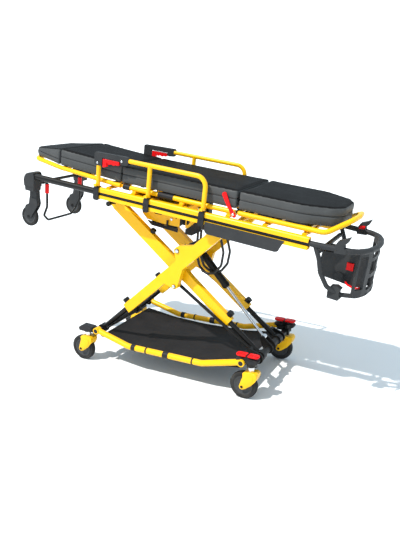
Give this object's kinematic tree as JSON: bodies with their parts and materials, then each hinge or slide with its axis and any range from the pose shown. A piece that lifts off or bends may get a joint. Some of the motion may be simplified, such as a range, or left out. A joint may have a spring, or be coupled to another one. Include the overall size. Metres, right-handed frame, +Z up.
{
  "type": "stretcher trolley",
  "caption": "Powered X-frame ambulance stretcher trolley with yellow frame, black mattress, folding guard rails and loading wheels.",
  "frame": {"origin": "centre of the footprint box on the floor", "axes": "+X towards the foot end, +Y across the trolley, +Z up"},
  "size_m": [2.1081, 0.6092, 1.2454],
  "materials": {
    "yellow_paint": "gloss powder coat",
    "black_paint": "satin powder coat",
    "grey_plastic": "matte moulded",
    "black_rubber": "matte",
    "red_plastic": "satin moulded",
    "chrome_steel": "polished rod",
    "mattress_cover": "coated vinyl fabric",
    "net_cloth": "woven polyester",
    "black_plastic": "matte moulded",
    "hose_rubber": "satin"
  },
  "bodies": {
    "root": {"head_crossbar": "black_paint", "foot_crossbar": "black_paint", "base_rail_left": "yellow_paint", "base_rail_right": "yellow_paint", "rail_trim": "black_plastic", "storage_net": "net_cloth"},
    "caster_head_left": {"caster_fork_head_left": "yellow_paint"},
    "wheel_head_left": {"caster_wheel_head_left": "black_rubber"},
    "caster_head_right": {"caster_fork_head_right": "yellow_paint"},
    "wheel_head_right": {"caster_wheel_head_right": "black_rubber"},
    "caster_foot_left": {"caster_fork_foot_left": "yellow_paint"},
    "wheel_foot_left": {"caster_wheel_foot_left": "black_rubber"},
    "caster_foot_right": {"caster_fork_foot_right": "yellow_paint"},
    "wheel_foot_right": {"caster_wheel_foot_right": "black_rubber"},
    "pedal_left": {"brake_pedal_left": "red_plastic"},
    "pedal_right": {"brake_pedal_right": "red_plastic"},
    "outer_legs": {"outer_leg_tubes": "black_paint"},
    "outer_arms": {"outer_arm_left": "yellow_paint", "outer_arm_right": "yellow_paint", "arm_cross_shaft": "black_paint"},
    "litter": {"litter_rail_left": "yellow_paint", "litter_rail_right": "yellow_paint", "litter_frame": "yellow_paint", "rail_clamps": "black_plastic", "motor_bracket": "yellow_paint", "motor_housing": "black_plastic", "side_skirts": "grey_plastic", "seat_cushion": "mattress_cover", "foot_end_loop": "grey_plastic", "control_box": "grey_plastic", "foot_claws": "grey_plastic", "hose_front": "hose_rubber", "hose_rear": "hose_rubber"},
    "inner_legs": {"inner_leg_tubes": "black_paint"},
    "inner_arms": {"inner_arm_left": "yellow_paint", "inner_arm_right": "yellow_paint", "inner_cross_tube": "black_paint"},
    "links": {"lower_links": "black_paint"},
    "rod": {"cylinder_rod": "chrome_steel"},
    "barrel": {"cylinder_barrel": "black_paint"},
    "head_section": {"head_tubes": "black_paint", "wheel_housings": "grey_plastic"},
    "load_wheel_left": {"load_wheel_left": "black_rubber"},
    "load_wheel_right": {"load_wheel_right": "black_rubber"},
    "safety_bar": {"safety_bar": "black_paint"},
    "backrest": {"back_frame": "yellow_paint", "back_cushion": "mattress_cover"},
    "foot_section": {"foot_frame": "yellow_paint", "foot_cushion": "mattress_cover"},
    "guard_left": {"guard_rail_left": "yellow_paint", "handle_plate_left": "black_plastic"},
    "grip_left": {"release_grip_left": "red_plastic"},
    "lever_left": {"section_lever_left": "red_plastic"},
    "button_left": {"power_button_left": "red_plastic"},
    "guard_right": {"guard_rail_right": "yellow_paint", "handle_plate_right": "black_plastic"},
    "grip_right": {"release_grip_right": "red_plastic"},
    "lever_right": {"section_lever_right": "red_plastic"},
    "button_right": {"power_button_right": "red_plastic"},
    "release_bar": {"release_bars": "red_plastic"}
  },
  "joints": [
    {"name": "swivel_head_left", "type": "hinge", "parent": "root", "child": "caster_head_left", "pos_m": [-0.54009, -0.27, 0.168], "axis": [0, 0, 1], "continuous": true},
    {"name": "roll_head_left", "type": "hinge", "parent": "caster_head_left", "child": "wheel_head_left", "pos_m": [-0.58009, -0.27, 0.076], "axis": [0, 1, 0], "continuous": true},
    {"name": "swivel_head_right", "type": "hinge", "parent": "root", "child": "caster_head_right", "pos_m": [-0.54009, 0.27, 0.168], "axis": [0, 0, 1], "continuous": true},
    {"name": "roll_head_right", "type": "hinge", "parent": "caster_head_right", "child": "wheel_head_right", "pos_m": [-0.58009, 0.27, 0.076], "axis": [0, 1, 0], "continuous": true},
    {"name": "swivel_foot_left", "type": "hinge", "parent": "root", "child": "caster_foot_left", "pos_m": [0.51191, -0.264, 0.168], "axis": [0, 0, 1], "continuous": true},
    {"name": "roll_foot_left", "type": "hinge", "parent": "caster_foot_left", "child": "wheel_foot_left", "pos_m": [0.47191, -0.264, 0.076], "axis": [0, 1, 0], "continuous": true},
    {"name": "swivel_foot_right", "type": "hinge", "parent": "root", "child": "caster_foot_right", "pos_m": [0.51191, 0.264, 0.168], "axis": [0, 0, 1], "continuous": true},
    {"name": "roll_foot_right", "type": "hinge", "parent": "caster_foot_right", "child": "wheel_foot_right", "pos_m": [0.47191, 0.264, 0.076], "axis": [0, 1, 0], "continuous": true},
    {"name": "brake_left", "type": "hinge", "parent": "root", "child": "pedal_left", "pos_m": [0.49491, -0.272, 0.248], "axis": [0, 1, 0], "range_deg": [-8, 8]},
    {"name": "brake_right", "type": "hinge", "parent": "root", "child": "pedal_right", "pos_m": [0.49491, 0.272, 0.248], "axis": [0, 1, 0], "range_deg": [-8, 8]},
    {"name": "lift", "type": "hinge", "parent": "root", "child": "outer_legs", "pos_m": [-0.49409, 0, 0.182], "axis": [0, 1, 0], "range_deg": [0, 26.58], "deforming": ["hose_front", "hose_rear"]},
    {"name": "outer_slide", "type": "slide", "parent": "outer_legs", "child": "outer_arms", "axis": [0.7584, 0, 0.6518], "range_m": [-0.2002, 0]},
    {"name": "litter_pitch", "type": "hinge", "parent": "outer_arms", "child": "litter", "pos_m": [0.31053, 0, 0.8736], "axis": [0, -1, 0], "range_deg": [0, 33.89]},
    {"name": "inner_swing", "type": "hinge", "parent": "root", "child": "inner_legs", "pos_m": [0.50591, 0, 0.188], "axis": [0, -1, 0], "range_deg": [0, 29.37]},
    {"name": "inner_slide", "type": "slide", "parent": "inner_legs", "child": "inner_arms", "axis": [-0.764, 0, 0.6452], "range_m": [-0.0908, 0]},
    {"name": "link_swing", "type": "hinge", "parent": "root", "child": "links", "pos_m": [0.45591, 0, 0.225], "axis": [0, -1, 0], "range_deg": [0, 36.01]},
    {"name": "cylinder_swing", "type": "hinge", "parent": "root", "child": "rod", "pos_m": [0.47091, 0, 0.24], "axis": [0, -1, 0], "range_deg": [0, 30.81]},
    {"name": "cylinder_stroke", "type": "slide", "parent": "rod", "child": "barrel", "axis": [-0.6561, 0, 0.7547], "range_m": [-0.1951, 0]},
    {"name": "head_shorten", "type": "slide", "parent": "litter", "child": "head_section", "axis": [0.9919, 0, -0.1271], "range_m": [0, 0.26]},
    {"name": "load_roll_left", "type": "hinge", "parent": "head_section", "child": "load_wheel_left", "pos_m": [-0.98436, -0.201, 0.8292], "axis": [0, 1, 0], "continuous": true},
    {"name": "load_roll_right", "type": "hinge", "parent": "head_section", "child": "load_wheel_right", "pos_m": [-0.98436, 0.201, 0.8292], "axis": [0, 1, 0], "continuous": true},
    {"name": "bar_swing", "type": "hinge", "parent": "head_section", "child": "safety_bar", "pos_m": [-0.90025, 0, 1.0372], "axis": [0, 1, 0], "range_deg": [-12, 35]},
    {"name": "backrest_tilt", "type": "hinge", "parent": "litter", "child": "backrest", "pos_m": [-0.29317, 0, 1.0542], "axis": [0, 1, 0], "range_deg": [0, 70], "deforming": ["back_cushion"]},
    {"name": "foot_raise", "type": "hinge", "parent": "litter", "child": "foot_section", "pos_m": [0.3962, 0, 0.96589], "axis": [0, -1, 0], "range_deg": [0, 15], "deforming": ["foot_cushion"]},
    {"name": "guard_fold_left", "type": "hinge", "parent": "litter", "child": "guard_left", "pos_m": [-0.09657, -0.264, 1.0149], "axis": [0.9919, 0, -0.1271], "range_deg": [0, 175]},
    {"name": "grip_squeeze_left", "type": "slide", "parent": "guard_left", "child": "grip_left", "axis": [0.1271, 0, 0.9919], "range_m": [0, 0.004], "stiffness_N_per_m": 800},
    {"name": "lever_turn_left", "type": "hinge", "parent": "litter", "child": "lever_left", "pos_m": [0.3803, -0.216, 0.95986], "axis": [0, 1, 0], "range_deg": [0, 45]},
    {"name": "button_press_left", "type": "slide", "parent": "litter", "child": "button_left", "axis": [0, 1, 0], "range_m": [0, 0.004], "stiffness_N_per_m": 600},
    {"name": "guard_fold_right", "type": "hinge", "parent": "litter", "child": "guard_right", "pos_m": [-0.09657, 0.264, 1.0149], "axis": [-0.9919, 0, 0.1271], "range_deg": [0, 175]},
    {"name": "grip_squeeze_right", "type": "slide", "parent": "guard_right", "child": "grip_right", "axis": [0.1271, 0, 0.9919], "range_m": [0, 0.004], "stiffness_N_per_m": 800},
    {"name": "lever_turn_right", "type": "hinge", "parent": "litter", "child": "lever_right", "pos_m": [0.3803, 0.216, 0.95986], "axis": [0, 1, 0], "range_deg": [0, 45]},
    {"name": "button_press_right", "type": "slide", "parent": "litter", "child": "button_right", "axis": [0, -1, 0], "range_m": [0, 0.004], "stiffness_N_per_m": 600},
    {"name": "release_pull", "type": "slide", "parent": "litter", "child": "release_bar", "axis": [0.1271, 0, 0.9919], "range_m": [0, 0.006], "stiffness_N_per_m": 800}
  ],
  "couplings": [
    {"joint": "outer_slide", "follows": "lift", "m_per_rad": -0.43112},
    {"joint": "litter_pitch", "follows": "lift", "ratio": 1.2746},
    {"joint": "inner_swing", "follows": "lift", "ratio": 1.1046},
    {"joint": "inner_slide", "follows": "lift", "m_per_rad": -0.1953},
    {"joint": "link_swing", "follows": "lift", "ratio": 1.3544},
    {"joint": "cylinder_swing", "follows": "lift", "ratio": 1.1588},
    {"joint": "cylinder_stroke", "follows": "lift", "m_per_rad": -0.42013}
  ]
}
